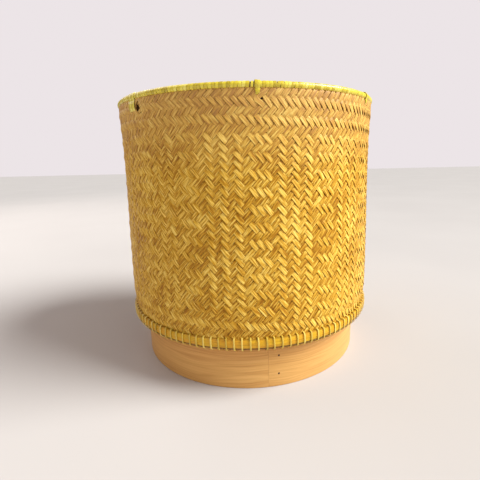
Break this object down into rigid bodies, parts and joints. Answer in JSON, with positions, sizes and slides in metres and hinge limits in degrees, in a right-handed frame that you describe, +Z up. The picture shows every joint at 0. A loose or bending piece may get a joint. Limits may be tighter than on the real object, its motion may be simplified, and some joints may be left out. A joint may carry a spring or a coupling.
{
  "type": "woven basket",
  "caption": "Open drum-shaped twill-woven bamboo basket with a wrapped cane rim, a laced belt hoop and a bent-wood foot ring.",
  "frame": {"origin": "centre of the foot ring's lower edge, on the surface that the basket stands on", "axes": "+Z up along the basket's axis of symmetry, -Y towards the front, where the foot nails and the joint in the rim wrapping are"},
  "size_m": [0.311, 0.311, 0.3038],
  "materials": {
    "bamboo_weave": "satin, flat split strips",
    "bamboo_lining": "matt, flat split strips",
    "split_bamboo_hoop": "smooth split bamboo with its skin on",
    "cane": "plain round cane",
    "yellow_strip": "glossy flat plastic binding strip",
    "pale_lacing": "narrow flat plastic lacing",
    "bent_wood": "smooth planed wood",
    "dark_nail": "dark iron nail"
  },
  "bodies": {
    "root": {"outer_wall": "bamboo_weave", "inner_wall": "bamboo_lining", "bottom_mat_upper": "bamboo_lining", "bottom_mat_lower": "bamboo_weave", "belt_hoop": "split_bamboo_hoop", "belt_lacing": "pale_lacing", "rim_hoop_core": "cane", "rim_wrap": "yellow_strip", "rim_tie_1": "yellow_strip", "rim_tie_2": "yellow_strip", "rim_tie_3": "yellow_strip", "rim_tie_4": "yellow_strip", "rim_tie_5": "yellow_strip", "rim_tie_6": "yellow_strip", "rim_tie_7": "yellow_strip", "foot_ring": "bent_wood", "foot_nail_upper": "dark_nail", "foot_nail_lower": "dark_nail"}
  },
  "joints": []
}
